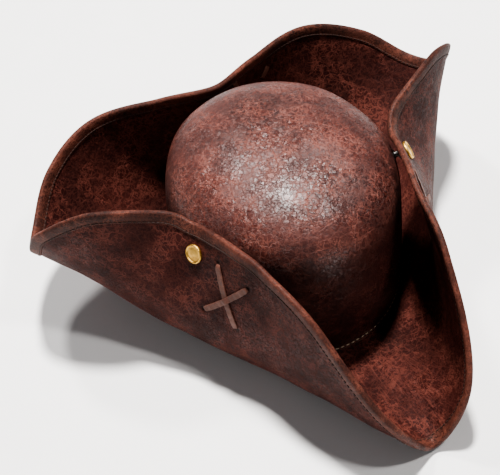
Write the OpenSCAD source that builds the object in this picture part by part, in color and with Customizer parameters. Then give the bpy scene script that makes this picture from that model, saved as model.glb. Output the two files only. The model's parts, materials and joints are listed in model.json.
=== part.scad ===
// Three-cornered leather hat: a round crown sewn to a wide brim, whose three sides are
// folded up and held against the crown by press studs. The front of the hat faces -Y and
// the wearer's left is +X. z = 0 is the seam where the crown meets the brim.
// A turn is an angle about the crown's axis, counted from the front towards +X.

/* [Crown] */
// Half width of the crown at its seam
crown_half_w = 86.5; // [72:0.5:106]
// Half length of the crown at its seam
crown_half_l = 98; // [81:1:118]
// Height of the crown above its seam
crown_h = 154; // [128:1:186]
// How far the crown's wall swells above its seam
crown_swell = 4; // [2:0.5:8]
// Squareness of the crown's shoulder
crown_square = 6; // [4:0.5:7]
// Thickness of the crown's leather
crown_t = 1.6; // [1.2:0.1:2.2]
// Thickness of the cloth lining
lining_t = 0.6; // [0.4:0.1:1]

/* [Sweatband] */
// Height of the sweatband inside the crown
band_h = 32; // [22:1:42]
// Thickness of the sweatband
band_t = 1.2; // [0.8:0.1:1.6]
// Width of the tape that covers the seam under the brim
tape_w = 9; // [6:0.5:12]
// Thickness of the seam tape
tape_t = 0.8; // [0.5:0.1:1.2]

/* [Brim] */
// Thickness of the brim's two bonded leathers
brim_t = 2.4; // [1.8:0.1:3]
// Reach of the front corner from the crown's axis
front_reach = 210; // [186:1:252]
// Reach of each back corner from the crown's axis
back_reach = 202; // [180:1:243]
// Turn of each back corner
corner_turn = 109; // [105:1:114]
// Height of the front corner's edge
front_rise = 4; // [2:1:20]
// Height of each back corner's edge
back_rise = 83; // [66:1:96]
// Height of a side flap's edge
side_flap_h = 139; // [116:1:148]
// Height of the back flap's edge
back_flap_h = 124; // [104:1:136]
// Roundness of the fold, more is tighter
fold_tight = 1.3; // [1:0.02:1.8]

/* [Edge] */
// Width of the binding on each face of the brim
bind_w = 8; // [6:0.5:11]
// Thickness of the binding tape
bind_t = 0.8; // [0.5:0.1:1.2]
// Diameter of the wire in the binding's roll
wire_d = 1.6; // [1:0.1:2]

/* [Press studs] */
// Diameter of the brass cap
cap_d = 15; // [12:0.5:18]
// Height of the cap's raised rim
cap_h = 2.4; // [1.8:0.1:3.2]
// Diameter of the stud's head
stud_d = 6.4; // [5:0.2:8]
// Depth of the socket behind the flap
socket_h = 3.2; // [2.6:0.1:4]
// Distance from the flap's edge to the middle of the cap
cap_inset = 20.5; // [17:0.5:24]
// Turn of the side flaps' caps
side_cap_turn = 68; // [62:1:74]
// Turn of the back flap's cap
back_cap_turn = 184; // [176:1:192]
// Distance from the crown's wall to the flap where it is pinned
pin_gap = 8.5; // [7.5:0.5:12]

/* [Lacing] */
// Width of the lace
lace_w = 4.5; // [3:0.5:6]
// Thickness of the lace
lace_t = 1.2; // [0.8:0.1:1.6]
// Length of the upper strap of the cross
over_l = 59; // [48:1:62]
// Length of the lower strap of the cross
under_l = 55; // [44:1:58]
// Distance from the flap's edge to the middle of the cross
lace_inset = 49; // [43:1:54]
// Turn of the side flaps' crosses
side_lace_turn = 51; // [46:1:56]
// Turn of the back flap's cross
back_lace_turn = 166; // [158:1:172]

/* [Hidden] */
leather = [0.30, 0.17, 0.14];
trim = [0.42, 0.25, 0.18];
brass = [0.78, 0.62, 0.30];
steel = [0.60, 0.60, 0.62];
cloth = [0.12, 0.10, 0.10];

slit = 0.5;            // gap between a flap and the brim along the fold
fit = 0.05;            // clearance of layers that lie on each other
stud_clear = 0.35;     // clearance of the stud in its socket
side_lean = 9;         // how much nearer the crown a side flap's edge is than its cap
back_lean = 4;         // the same for the back flap
wall_share = 0.3;       // share of the crown's height where its shoulder begins to draw in
swell_share = 0.45;    // share of the crown's height where its wall stands widest
pin_share = 0.8;       // highest share of the crown's height that a flap is pinned to
dip_share = 0.91;      // a side flap's height at its cap, as a share of its full height
ends = 3;              // least depth of a flap at its two ends
flap_margin = 2.2;     // from the cut to the ends of a flap's binding
brim_margin = 3.2;     // from the cut to the ends of the corners' bindings
tape_flat = 2;         // flat width of the seam tape, on which the hat stands
tip_drop = 9;          // how far the corner tips stay on the brim's side of each cut
brim_rows = 8;         // steps across the brim and across a flap
sheet_step = 4.5;      // most turn between two columns of the brim
edge_step = 14;        // most distance along the edge between two columns
least_gap = 0.5;       // least turn between a piece's end and its next column

function mix(a, b, k) = a + (b - a) * k;
function flat(l) = [for (a = l) for (b = a) b];
function unit(a) = a / norm(a);
function polar(turn, r, z) = [r * sin(turn), -r * cos(turn), z];

// ---- Crown: an oval that swells above the seam and closes over a squared shoulder ----
function oval(turn) = 1 / sqrt(pow(sin(turn) / crown_half_w, 2) + pow(cos(turn) / crown_half_l, 2));
function shoulder(u) = sqrt(max(0, 1 - pow(max(0, (u - wall_share) / (1 - wall_share)), crown_square)));
function swell(u) = crown_swell * sin(90 * min(1, u / swell_share));
function crown_r(turn, u) = (oval(turn) + swell(u)) * shoulder(u);
// a point of the crown's outer face drawn in by a thickness, u = 0 at the seam and 1 on top
function crown_point(turn, u, inset) = polar(turn, crown_r(turn, u) * (1 - inset / crown_half_w),
    u * (crown_h - inset));

// ---- Brim: three curves round the hat, and a conic arc across it from seam to edge ----
// [share of the way to the corner, fold's reach past the seam, fold's height, tuck, lift]
// tuck: 0 = as far out as the corners, 1 = pinned in; lift: 0 = corner height, 1 = flap height
SIDE = [[0, 109, 7, 0, 0], [0.08, 102, 6, 0, 0.32], [0.19, 80, 8, 0.45, 0.84],
    [0.31, 56, 14, 0.77, 0.95], [0.43, 47, 20, 0.91, 0.98], [0.55, 50, 28, 0.98, 0.96],
    [0.67, 62, 38, 1, 0.91], [0.78, 80, 44, 0.88, 1], [0.87, 86, 43, 0.46, 1.1],
    [0.94, 82, 39, 0.11, 0.68], [1, 77, 34, 0, 0]];
BACK = [[0.12, 72, 28, 0, -0.15], [0.28, 64, 21, 0.09, 0.37], [0.48, 54, 15, 0.31, 0.78],
    [0.72, 44, 12, 0.73, 0.88], [1, 39, 11, 1, 1]];
function wall_at(turn, z) = crown_r(turn, min(z / crown_h, pin_share));
side_in = wall_at(side_cap_turn, side_flap_h * dip_share - cap_inset) + pin_gap - side_lean;
back_in = wall_at(back_cap_turn, back_flap_h - cap_inset) + pin_gap - back_lean;
half_ring = concat(
    [for (s = SIDE) let (turn = s[0] * corner_turn)
        [turn, oval(turn) + s[1], s[2],
        mix(mix(front_reach, back_reach, s[0]), side_in, s[3]),
        mix(mix(front_rise, back_rise, s[0]), side_flap_h, s[4])]],
    [for (s = BACK) let (turn = mix(corner_turn, 180, s[0]))
        [turn, oval(turn) + s[1], s[2],
        mix(back_reach, back_in, s[3]),
        mix(back_rise, back_flap_h, s[4])]]);
half_n = len(half_ring);
ring = concat(half_ring,
    [for (i = [half_n - 2:-1:1]) concat([360 - half_ring[i][0]], [for (c = [1:4]) half_ring[i][c]])]);
ring_n = len(ring);
function station(i) = ring[(i + ring_n) % ring_n];
function station_turn(i) = station(i)[0] + 360 * floor(i / ring_n);
function tangent(i) = [for (c = [1:4]) (station(i + 1)[c] - station(i - 1)[c])
    / (station_turn(i + 1) - station_turn(i - 1))];
function find_station(turn, i = 0) =
    i + 1 >= ring_n || station_turn(i + 1) > turn ? i : find_station(turn, i + 1);
// smooth curve through the stations: [fold reach, fold height, edge reach, edge height]
function curves(turn) = let (
        a = (turn % 360 + 360) % 360, i = find_station(a),
        h = station_turn(i + 1) - station_turn(i), t = (a - station_turn(i)) / h,
        p = station(i), q = station(i + 1), m = tangent(i), n = tangent(i + 1),
        h00 = 2 * t * t * t - 3 * t * t + 1, h10 = (t * t * t - 2 * t * t + t) * h,
        h01 = 3 * t * t - 2 * t * t * t, h11 = (t * t * t - t * t) * h)
    [for (c = [0:3]) h00 * p[c + 1] + h10 * m[c] + h01 * q[c + 1] + h11 * n[c]];
// a point of the brim's middle surface, v = 0 at the seam and 1 at the edge
function arc_point(c, turn, v) = let (
        a = (1 - v) * (1 - v), b = 2 * fold_tight * v * (1 - v), e = v * v, d = a + b + e)
    polar(turn, (a * oval(turn) + b * c[0] + e * c[2]) / d, (b * c[1] + e * c[3]) / d);
function brim_point(turn, v) = arc_point(curves(turn), turn, v);
// [point, direction towards the edge, normal on the face that looks to the crown]
function brim_frame(turn, v) = let (
        c = curves(turn), p = arc_point(c, turn, v), e = 0.004,
        along = arc_point(c, turn, v + e) - arc_point(c, turn, v - e),
        round = brim_point(turn + 0.2, v) - brim_point(turn - 0.2, v))
    [p, unit(along), unit(cross(along, round)), norm(along) / (2 * e), norm(round) / 0.4];
function lifted(f, out, up) = f[0] + f[1] * out + f[2] * up;
// the v that lies a given straight distance in from the edge
function inset_v(turn, d, lo = 0.3, hi = 1, k = 18) = let (m = (lo + hi) / 2)
    k == 0 ? m : norm(brim_point(turn, 1) - brim_point(turn, m)) > d
        ? inset_v(turn, d, m, hi, k - 1) : inset_v(turn, d, lo, m, k - 1);

// ---- Folds: each flap turns about a straight line just outside its fold ----
// a fold is [first corner, last corner, along the line, outwards, up, hinge out+up, hinge out-up]
function fold_axes(t0, t1) = let (
        p = brim_point(t0, 1), q = brim_point(t1, 1), e = unit(q - p),
        out = unit(cross(e, [0, 0, 1])), up = cross(out, e),
        sum = max([for (t = [t0, t1]) let (s = brim_point(t, 1)) s * out + s * up]) + tip_drop,
        dif = max([for (t = [t0:3:t1], v = [0.1:0.1:1]) let (s = brim_point(t, v)) s * out - s * up]))
    [t0, t1, e, out, up, sum, dif + brim_t];
fold_left = fold_axes(0, corner_turn);
fold_back = fold_axes(corner_turn, 360 - corner_turn);
fold_right = fold_axes(360 - corner_turn, 360);
function hinge_point(f) = f[3] * (f[5] + f[6]) / 2 + f[4] * (f[5] - f[6]) / 2;
// distance past the cut, positive on the flap's side
function past(f, p) = (p * f[3] + p * f[4] - f[5]) / sqrt(2);
function fold_of(turn) = let (a = (turn % 360 + 360) % 360)
    a < corner_turn ? fold_left : a > 360 - corner_turn ? fold_right : fold_back;
// the v where a face of the sheet (up = its height over the middle surface) meets the cut
function cut_v(f, turn, up, want, lo = 0.05, hi = 1, k = 16) =
    let (m = (lo + hi) / 2, fr = brim_frame(turn, m))
    k == 0 ? m : past(f, lifted(fr, 0, up)) > want
        ? cut_v(f, turn, up, want, lo, m, k - 1) : cut_v(f, turn, up, want, m, hi, k - 1);
// the edge's own frame, with its second direction square to the edge instead of along a column
function edge_frame(turn) = let (f = brim_frame(turn, 1),
        run = unit(brim_point(turn + 0.2, 1) - brim_point(turn - 0.2, 1)), lean = f[1] * run)
    [f[0], unit(f[1] - lean * run), f[2], lean, sqrt(1 - lean * lean), f[3], f[4]];
// the sheet's frame at a distance in from the edge, square to the edge
function hem_frame(turn, d) = let (f = edge_frame(turn))
    brim_frame(turn + d * f[3] / (f[4] * f[6]), 1 - d / (f[4] * f[5]));
// how far past the cut the sheet is: at an inset along its column, or the least (across = 1) or
// the most (across = -1) over the width of a binding
function depth(f, turn, inset, across) = let (
        p = past(f, brim_point(turn, inset == 0 ? 1 : inset_v(turn, inset))),
        q = across == 0 ? p : past(f, hem_frame(turn, bind_w)[0]))
    across < 0 ? max(p, q) : min(p, q);
// the turn between two turns where that depth has a wanted value
function cut_turn(f, inner, outer, inset, across, want, k = 14) = let (m = (inner + outer) / 2)
    k == 0 ? m : depth(f, m, inset, across) > want
        ? cut_turn(f, m, outer, inset, across, want, k - 1)
        : cut_turn(f, inner, m, inset, across, want, k - 1);
function flap_span(f, inset, across, want) = let (mid = (f[0] + f[1]) / 2)
    [cut_turn(f, mid, f[0], inset, across, want), cut_turn(f, mid, f[1], inset, across, want)];

// ---- Solids from grids and rings of points ----
// a closed slab between two grids of columns: "upper" on the normal's side, "lower" below it
module slab(upper, lower, closed = false, pole = []) {
    n = len(upper);
    m = len(upper[0]);
    off = n * m;
    cols = closed ? n : n - 1;
    walls = flat([for (j = [0:cols - 1]) let (p = j * m, q = (j + 1) % n * m,
            s = p + m - 1, t = q + m - 1, o = off, k = 2 * off)
        concat([[q, p, o + p], [q, o + p, o + q]],
            len(pole) == 0 ? [[s, t, o + t], [s, o + t, o + s]]
                : [[s, t, k], [o + t, o + s, k + 1]])]);
    sheets = flat([for (j = [0:cols - 1], i = [0:m - 2]) let (
            p = j * m + i, q = (j + 1) % n * m + i, o = off)
        [[p, q, q + 1], [p, q + 1, p + 1],
        [o + p, o + q + 1, o + q], [o + p, o + p + 1, o + q + 1]]]);
    sides = closed ? [] : flat([for (i = [0:m - 2]) let (p = i, q = off - m + i, o = off)
        [[p, p + 1, o + p + 1], [p, o + p + 1, o + p],
        [q + 1, q, o + q], [q + 1, o + q, o + q + 1]]]);
    polyhedron(concat(flat(upper), flat(lower), pole), concat(walls, sheets, sides));
}
// a closed tube through rings of points; "turned" lists the sides cut along their other diagonal,
// so that the two faces of a thin wall are cut alike and don't cross where the wall twists
module tube(rings, closed = false, turned = []) {
    n = len(rings);
    k = len(rings[0]);
    cols = closed ? n : n - 1;
    skin = flat([for (j = [0:cols - 1], i = [0:k - 1]) let (
            a = j * k + i, b = j * k + (i + 1) % k,
            c = (j + 1) % n * k + (i + 1) % k, d = (j + 1) % n * k + i)
        len(search(i, turned)) > 0 ? [[a, d, b], [d, c, b]] : [[a, d, c], [a, c, b]]]);
    caps = closed ? [] : [[for (i = [0:k - 1]) i], [for (i = [k - 1:-1:0]) (n - 1) * k + i]];
    polyhedron(flat(rings), concat(skin, caps));
}
// turns of the columns shared by the brim, the flaps and their bindings: the same on both sides
function pace(turn) = min(sheet_step, edge_step / brim_frame(turn, 1)[4]);
function walk(turn) = turn >= 180 ? [turn] : concat([turn], walk(turn + pace(turn)));
half_walk = walk(0);
half_cols = len(half_walk) - 1;
half_grid = [for (a = half_walk) a * 180 / half_walk[half_cols]];
grid = concat(half_grid, [for (i = [half_cols - 1:-1:1]) 360 - half_grid[i]]);
function between(a, b) = concat([a],
    [for (whole = [0, 360], g = grid) if (g + whole > a + least_gap && g + whole < b - least_gap) g + whole],
    [b]);

// ---- Crown pieces ----
module crown_layer(inset, t, cols, rows, low) {
    turns = [for (i = [0:cols - 1]) i * 360 / cols];
    us = [for (i = [0:rows - 1]) mix(low / crown_h, 1, sin(90 * i / rows))];
    slab([for (a = turns) [for (u = us) crown_point(a, u, inset + t)]],
        [for (a = turns) [for (u = us) crown_point(a, u, inset)]], true,
        [crown_point(0, 1, inset + t), crown_point(0, 1, inset)]);
}
module crown_shell() {
    color(leather) crown_layer(0, crown_t, 64, 16, 0);
}
module crown_lining() {
    color(cloth) crown_layer(crown_t + fit, lining_t, 48, 12, 0);
}
module oval_strip(inset, t, z0, z1, rows, cols) {
    turns = [for (i = [0:cols - 1]) i * 360 / cols];
    zs = [for (i = [0:rows]) mix(z0, z1, i / rows)];
    slab([for (a = turns) [for (z = zs) crown_point(a, z / crown_h, inset + t)]],
        [for (a = turns) [for (z = zs) crown_point(a, z / crown_h, inset)]], true);
}
module sweatband() {
    color(trim) oval_strip(crown_t + lining_t + 3 * fit, band_t, 0, band_h, 2, 60);
}
module seam_tape() {
    top = -brim_t / 2 - fit;
    low = top - tape_t;
    rings = [for (i = [0:59]) let (a = i * 6, g = brim_frame(a, tape_w / brim_frame(a, 0.01)[3]),
            inner = oval(a) - crown_t, flat_out = oval(a) + tape_flat)
        [polar(a, inner, top), polar(a, inner, low), polar(a, flat_out, low),
        lifted(g, 0, low), lifted(g, 0, top), polar(a, flat_out, top)]];
    color(trim) tube(rings, true);
}

// ---- Brim pieces ----
function face_columns(turns, up, spans) = [for (i = [0:len(turns) - 1]) let (s = spans[i])
    [for (k = [0:brim_rows]) lifted(brim_frame(turns[i], mix(s[0], s[1], k / brim_rows)), 0, up)]];
function base_span(turn, up) = let (f = fold_of(turn), m = brim_frame(turn, 1))
    [0.006, past(f, lifted(m, 0, up)) > -slit / 2 ? cut_v(f, turn, up, -slit / 2) : 1];
module brim_base() {
    up = brim_t / 2;
    color(leather) slab(
        face_columns(grid, up, [for (a = grid) base_span(a, up)]),
        face_columns(grid, -up, [for (a = grid) base_span(a, -up)]), true);
}
module flap(f) {
    span = flap_span(f, ends, 0, slit / 2);
    turns = between(span[0], span[1]);
    up = brim_t / 2;
    color(leather) slab(
        face_columns(turns, up, [for (a = turns) [cut_v(f, a, up, slit / 2), 1]]),
        face_columns(turns, -up, [for (a = turns) [cut_v(f, a, -up, slit / 2), 1]]));
}
module flap_right() { flap(fold_right); }
module flap_left() { flap(fold_left); }
module flap_back() { flap(fold_back); }

// ---- Binding and wire along the edge ----
wire_out = wire_d / 2 + 2 * fit;
roll_r = brim_t / 2 + fit + bind_t;
roll_out = wire_out + wire_d / 2 + fit + bind_t - roll_r;
function binding_ring(turn) = let (f = edge_frame(turn), g = hem_frame(turn, bind_w),
        in = brim_t / 2 + fit, bottom = wire_out + wire_d / 2 + fit)
    concat([lifted(g, 0, roll_r)],
        [for (a = [90:-36:-90]) lifted(f, roll_out + roll_r * cos(a), roll_r * sin(a))],
        [lifted(g, 0, -roll_r), lifted(g, 0, -in), lifted(f, bottom, -in), lifted(f, bottom, in),
        lifted(g, 0, in)]);
function wire_ring(turn) = let (f = edge_frame(turn))
    [for (a = [0:-45:-315]) lifted(f, wire_out + wire_d / 2 * cos(a), wire_d / 2 * sin(a))];
module edge_binding(span) {
    color(trim) tube([for (a = between(span[0], span[1])) binding_ring(a)], turned = [6, 10]);
}
module edge_wire(span) {
    color(steel) tube([for (a = between(span[0], span[1])) wire_ring(a)]);
}
function bound(f) = flap_span(f, 0, 1, flap_margin);
function unbound(f) = flap_span(f, 0, -1, -brim_margin);
corner_spans = [[unbound(fold_right)[1], 360 + unbound(fold_left)[0]],
    [unbound(fold_left)[1], unbound(fold_back)[0]],
    [unbound(fold_back)[1], unbound(fold_right)[0]]];
module binding_right() { edge_binding(bound(fold_right)); }
module binding_left() { edge_binding(bound(fold_left)); }
module binding_back() { edge_binding(bound(fold_back)); }
module binding_corners() { for (s = corner_spans) edge_binding(s); }
module edge_wire_right() { edge_wire(bound(fold_right)); }
module edge_wire_left() { edge_wire(bound(fold_left)); }
module edge_wire_back() { edge_wire(bound(fold_back)); }
module edge_wire_corners() { for (s = corner_spans) edge_wire(s); }

// ---- Press studs: cap and socket on the flap, stud and post on the crown ----
// the axis of a stud is the way its flap swings off, so the socket leaves the stud straight,
// and the cap lies flat on the leather: a pin is [place, way the stud points, way the cap looks]
function pin(f, turn) = let (g = brim_frame(turn, inset_v(turn, cap_inset)),
        arm = g[0] - hinge_point(f), off = unit(cross(f[2], arm) * -1))
    [g[0], off * f[3] < 0 ? -off : off, -g[2]];
function outside(p) = let (turn = atan2(p[0], -p[1]), u = p[2] / crown_h)
    u >= 1 || norm([p[0], p[1]]) > crown_r(turn, max(0, u));
function to_crown(p, way, lo = 0, hi = 40, k = 18) = let (m = (lo + hi) / 2)
    k == 0 ? m : outside(p - way * m) ? to_crown(p, way, m, hi, k - 1) : to_crown(p, way, lo, m, k - 1);
pin_right = pin(fold_right, 360 - side_cap_turn);
pin_left = pin(fold_left, side_cap_turn);
pin_back = pin(fold_back, back_cap_turn);
module on_pin(p, out, way) {
    translate(p[0] + way * out)
        rotate([0, acos(way[2]), atan2(way[1], way[0])]) children();
}
shank_r = 1.8;
module snap_cap(p) {
    r = cap_d / 2;
    color(brass) on_pin(p, brim_t / 2 + fit, p[2]) rotate_extrude($fn = 64)
        polygon([[0, -brim_t - 0.6], [shank_r, -brim_t - 0.6], [shank_r, 0], [r - 0.4, 0], [r, 0.5],
            [r, cap_h - 0.7], [r - 0.6, cap_h], [r - 1.3, cap_h], [r - 2, cap_h - 0.8],
            [0, cap_h - 0.4]]);
}
module snap_socket(p) {
    bore = stud_d / 2 + stud_clear;
    color(steel) on_pin(p, -brim_t / 2 - fit, p[1]) difference() {
        translate([0, 0, -socket_h]) cylinder(r = bore + 2.2, h = socket_h, $fn = 48);
        translate([0, 0, -socket_h - 1]) cylinder(r = bore, h = socket_h + 0.2, $fn = 48);
        translate([0, 0, -1]) cylinder(r = shank_r + fit, h = 2, $fn = 32);
    }
}
module snap_stud(p) {
    reach = to_crown(p[0], p[1]);
    top = reach - brim_t / 2 - fit - 0.8 - stud_clear;
    head = stud_d / 2;
    color(steel) on_pin(p, -reach, p[1]) rotate_extrude($fn = 48)
        polygon([[shank_r, -0.4], [head + 1.6, -0.4], [head + 1.6, 0.6], [head - 0.9, 0.9],
            [head - 0.9, top - 2], [head, top - 1.4], [head, top - 0.5], [head - 0.6, top],
            [shank_r, top]]);
}
module snap_post(p) {
    reach = to_crown(p[0], p[1]);
    top = reach - brim_t / 2 - fit - 0.8 - stud_clear;
    under = crown_t + lining_t + 0.6;
    head = stud_d / 2 + 1.4;
    color(brass) on_pin(p, -reach, p[1]) rotate_extrude($fn = 48)
        polygon([[0, -under - 0.8], [head - 0.3, -under - 0.8], [head, -under - 0.4], [head, -under],
            [shank_r - fit, -under], [shank_r - fit, top], [0, top]]);
}
module snap_cap_right() { snap_cap(pin_right); }
module snap_cap_left() { snap_cap(pin_left); }
module snap_cap_back() { snap_cap(pin_back); }
module snap_socket_right() { snap_socket(pin_right); }
module snap_socket_left() { snap_socket(pin_left); }
module snap_socket_back() { snap_socket(pin_back); }
module snap_stud_right() { snap_stud(pin_right); }
module snap_stud_left() { snap_stud(pin_left); }
module snap_stud_back() { snap_stud(pin_back); }
module snap_post_right() { snap_post(pin_right); }
module snap_post_left() { snap_post(pin_left); }
module snap_post_back() { snap_post(pin_back); }

// ---- Lacing: two flat straps crossed on the flap's outer face, tails drawn through it ----
over_tilt = -46;       // the upper strap's tilt from the line of the edge
under_tilt = 73;       // the lower strap's tilt
lace_steps = 12;
function bump(x) = 0.5 + 0.5 * cos(180 * min(1, abs(x)));
function lace_frame(turn, tilt, s) = let (
        c = brim_frame(turn, inset_v(turn, lace_inset)),
        a = turn + s * cos(tilt) / c[4], v = inset_v(turn, lace_inset) + s * sin(tilt) / c[3],
        f = brim_frame(a, v), b = turn + (s + 1) * cos(tilt) / c[4],
        w = inset_v(turn, lace_inset) + (s + 1) * sin(tilt) / c[3],
        run = unit(brim_point(b, w) - f[0]))
    [f[0], cross(f[2], run), f[2]];
module lace(turn, tilt, long, rise) {
    half = long / 2;
    rings = [for (i = [-lace_steps - 1:lace_steps + 1]) let (
            k = max(-1, min(1, i / lace_steps)), f = lace_frame(turn, tilt, k * half),
            run = cross(f[1], f[2]) * sign(i) * (abs(i) >= lace_steps ? lace_t : 0),
            tail = abs(i) > lace_steps ? brim_t + lace_t + 1 : 0,
            near = -brim_t / 2 - 0.15 - rise * bump(k * half / (lace_w * 1.4)),
            far = tail > 0 ? near : near - lace_t, w = lace_w / 2)
        [lifted(f, w, near + tail), lifted(f, -w, near + tail),
        lifted(f, -w, far + tail) + run, lifted(f, w, far + tail) + run]];
    color(trim) tube(rings, turned = [2]);
}
module lace_over_right() { lace(360 - side_lace_turn, 180 - over_tilt, over_l, lace_t + 0.15); }
module lace_over_left() { lace(side_lace_turn, over_tilt, over_l, lace_t + 0.15); }
module lace_over_back() { lace(back_lace_turn, over_tilt, over_l, lace_t + 0.15); }
module lace_under_right() { lace(360 - side_lace_turn, 180 - under_tilt, under_l, 0); }
module lace_under_left() { lace(side_lace_turn, under_tilt, under_l, 0); }
module lace_under_back() { lace(back_lace_turn, under_tilt, under_l, 0); }

crown_shell();
crown_lining();
sweatband();
seam_tape();
brim_base();
flap_right();
flap_left();
flap_back();
binding_right();
binding_left();
binding_back();
binding_corners();
edge_wire_right();
edge_wire_left();
edge_wire_back();
edge_wire_corners();
snap_cap_right();
snap_cap_left();
snap_cap_back();
snap_socket_right();
snap_socket_left();
snap_socket_back();
snap_stud_right();
snap_stud_left();
snap_stud_back();
snap_post_right();
snap_post_left();
snap_post_back();
lace_over_right();
lace_over_left();
lace_over_back();
lace_under_right();
lace_under_left();
lace_under_back();
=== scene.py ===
# %% [markdown]
# # A three-cornered leather hat
# The hat is a round crown sewn to a wide brim, with three sides of the brim folded up and
# held to the crown by press studs. The working frame gives the bodies and hinges. Here
# each visible piece is worked out again as a fine surface and given its finish.

# %% Load the frame
import json
import math

import bpy
import numpy as np
from mathutils import Matrix


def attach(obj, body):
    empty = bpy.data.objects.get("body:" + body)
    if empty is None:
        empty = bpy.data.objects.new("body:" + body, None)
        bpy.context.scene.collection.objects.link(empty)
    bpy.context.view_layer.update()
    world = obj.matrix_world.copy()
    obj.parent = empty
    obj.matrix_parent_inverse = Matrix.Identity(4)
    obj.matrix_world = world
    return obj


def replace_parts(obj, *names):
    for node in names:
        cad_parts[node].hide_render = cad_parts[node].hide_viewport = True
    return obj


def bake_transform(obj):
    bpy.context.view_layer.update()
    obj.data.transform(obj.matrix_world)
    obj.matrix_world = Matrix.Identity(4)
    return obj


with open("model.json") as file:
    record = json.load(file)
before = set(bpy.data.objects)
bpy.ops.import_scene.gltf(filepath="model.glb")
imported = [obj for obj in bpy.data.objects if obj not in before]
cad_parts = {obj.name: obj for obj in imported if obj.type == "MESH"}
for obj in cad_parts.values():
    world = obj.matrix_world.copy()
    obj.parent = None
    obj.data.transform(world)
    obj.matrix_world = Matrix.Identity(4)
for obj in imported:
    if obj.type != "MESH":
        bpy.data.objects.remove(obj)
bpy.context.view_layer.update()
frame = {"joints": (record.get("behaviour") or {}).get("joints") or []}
joints = {joint["name"]: joint for joint in frame["joints"]}
print("hinges:", sorted(joints))

# %% [markdown]
# ## Sizes
# A hatter thinks in millimetres, so the shapes do too, and the last step of each mesh
# turns them into metres. The values are those of the frame, so that every surface lies
# where the frame has its solid.

# %% Sizes
MM = 0.001
CROWN_HALF_W, CROWN_HALF_L, CROWN_H = 86.5, 98.0, 154.0
CROWN_SWELL, CROWN_SQUARE, WALL_SHARE, SWELL_SHARE = 4.0, 6.0, 0.3, 0.45
CROWN_T, LINING_T, BAND_T, BAND_H = 1.6, 0.6, 1.2, 32.0
BRIM_T, FRONT_REACH, BACK_REACH, CORNER_TURN = 2.4, 210.0, 202.0, 109.0
FRONT_RISE, BACK_RISE, SIDE_FLAP_H, BACK_FLAP_H = 4.0, 83.0, 139.0, 124.0
FOLD_TIGHT, TIP_DROP, PIN_SHARE, DIP_SHARE = 1.3, 9.0, 0.8, 0.91
CAP_INSET, SIDE_CAP_TURN, BACK_CAP_TURN = 20.5, 68.0, 184.0
PIN_GAP, SIDE_LEAN, BACK_LEAN = 8.5, 9.0, 4.0
LACE_INSET, SIDE_LACE_TURN, BACK_LACE_TURN = 49.0, 51.0, 166.0
STRAPS = {True: (59.0, -46.0), False: (55.0, 73.0)}     # length and tilt, upper and lower


def mix(a, b, share):
    return a + (b - a) * share


def unit(vectors):
    """Each vector divided by its own length."""
    return vectors / np.linalg.norm(vectors, axis=-1, keepdims=True)


# %% [markdown]
# ## The camera
# The camera stands in front of the hat, a little to its right and well above it, and is
# rolled a little. It could be placed by hand, but three angles, a distance and a small
# shift of its aim say the same in numbers that are easy to change.

# %% Camera
CAMERA_TURN, CAMERA_RISE, CAMERA_ROLL = -21.3, 48.6, -9.7
CAMERA_AWAY, CAMERA_LENS = 0.952, 83.9
CAMERA_SIDE, CAMERA_UP, CAMERA_HIGH = -0.0309, -0.0039, 0.05


def camera_axes(turn, rise, roll):
    """Right, up and back of a camera turned about +Z, raised and rolled, as columns."""
    a, e, r = np.radians([turn, rise, roll])
    back = np.array([np.sin(a) * np.cos(e), -np.cos(a) * np.cos(e), np.sin(e)])
    right = np.array([np.cos(a), np.sin(a), 0.0])
    up = np.cross(back, right)
    return np.stack([right * np.cos(r) + up * np.sin(r), up * np.cos(r) - right * np.sin(r), back], 1)


def place(thing, axes, spot):
    """Sets an object's matrix from three axis columns and a place."""
    matrix = np.eye(4)
    matrix[:3, :3] = axes
    matrix[:3, 3] = spot
    thing.matrix_world = Matrix(matrix.tolist())


level = camera_axes(CAMERA_TURN, CAMERA_RISE, 0.0)
rolled = camera_axes(CAMERA_TURN, CAMERA_RISE, CAMERA_ROLL)
aim = level[:, 0] * CAMERA_SIDE + level[:, 1] * CAMERA_UP + np.array([0.0, 0.0, CAMERA_HIGH])
eye = bpy.data.objects.new("camera", bpy.data.cameras.new("camera"))
bpy.context.collection.objects.link(eye)
eye.data.lens, eye.data.sensor_width = CAMERA_LENS, 36.0
place(eye, rolled, aim + rolled[:, 2] * CAMERA_AWAY)
bpy.context.scene.camera = eye
print("camera", [round(x, 3) for x in eye.matrix_world.translation])

# %% [markdown]
# ## The light
# One small strong lamp hangs high over the hat, so the crown's top shines while the leaning
# flaps keep their insides in shadow. A second from the front right and a third from behind
# break the shine in two, and a broad weak one in front lifts the outsides of the flaps.

# %% Lamps
def facing(spot, target):
    """Axes of a lamp at a spot that looks at a target."""
    back = unit(np.array(spot, float) - np.array(target, float))
    right = unit(np.cross([0.0, 0.0, 1.0], back))
    return np.stack([right, np.cross(back, right), back], 1)


def add_lamp(name, spot, size, watts, tint, target=(0.0, 0.0, 0.06)):
    """A round lamp at a spot in metres, turned towards the hat."""
    lamp = bpy.data.lights.new(name, "AREA")
    lamp.shape = "DISK"
    lamp.size, lamp.energy, lamp.color = size, watts, tint
    holder = bpy.data.objects.new(name, lamp)
    bpy.context.collection.objects.link(holder)
    place(holder, facing(spot, target), spot)


add_lamp("key_lamp", (0.20, 0.24, 1.94), 0.20, 92.0, (1.0, 0.97, 0.94))
add_lamp("side_lamp", (0.50, -0.62, 1.66), 0.16, 12.0, (1.0, 0.97, 0.95))
add_lamp("back_lamp", (-0.05, 0.95, 1.62), 0.22, 19.0, (1.0, 0.97, 0.95))
add_lamp("front_lamp", (-1.30, -1.20, 1.00), 1.00, 3.0, (1.0, 0.97, 0.95))

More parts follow.
